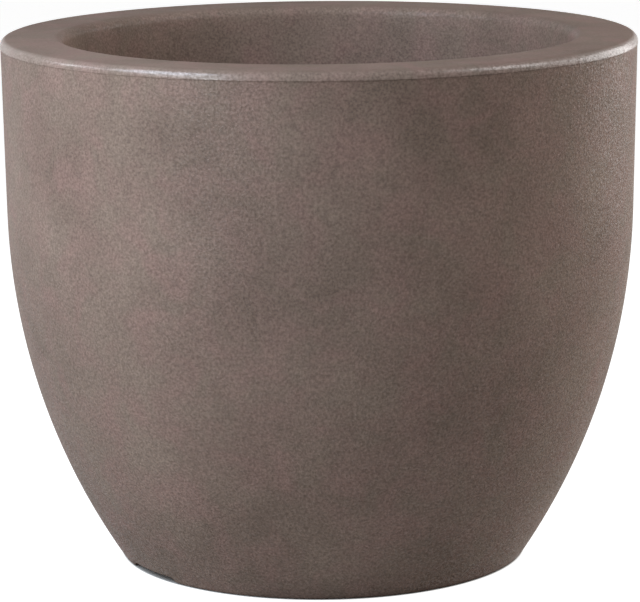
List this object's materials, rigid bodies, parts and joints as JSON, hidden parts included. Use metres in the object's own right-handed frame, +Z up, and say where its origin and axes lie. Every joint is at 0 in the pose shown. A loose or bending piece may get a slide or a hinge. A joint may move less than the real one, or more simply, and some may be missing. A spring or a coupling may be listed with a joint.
{
  "type": "round garden planter",
  "caption": "Round moulded garden planter with a broad flat rim, a wall that curves in to a small foot, a hollow double wall and a lift-out drain bung in the floor.",
  "frame": {"origin": "on the axis of the pot, at the level of the foot it stands on", "axes": "+Z up along the axis of the pot; -Y towards the front as pictured, +X to the right"},
  "size_m": [0.4999, 0.5, 0.415],
  "materials": {
    "pot_plastic": "finely grained satin, stone-like taupe",
    "bung_plastic": "satin black",
    "seal_rubber": "matt black",
    "vent_plastic": "satin black"
  },
  "bodies": {
    "pot": {"planter_shell": "pot_plastic", "vent_plug": "vent_plastic"},
    "bung": {"drain_plug": "bung_plastic", "plug_seal": "seal_rubber"}
  },
  "joints": [
    {"name": "bung_lift", "type": "slide", "parent": "pot", "child": "bung", "axis": [0, 0, 1], "range_m": [0, 0.42]}
  ]
}
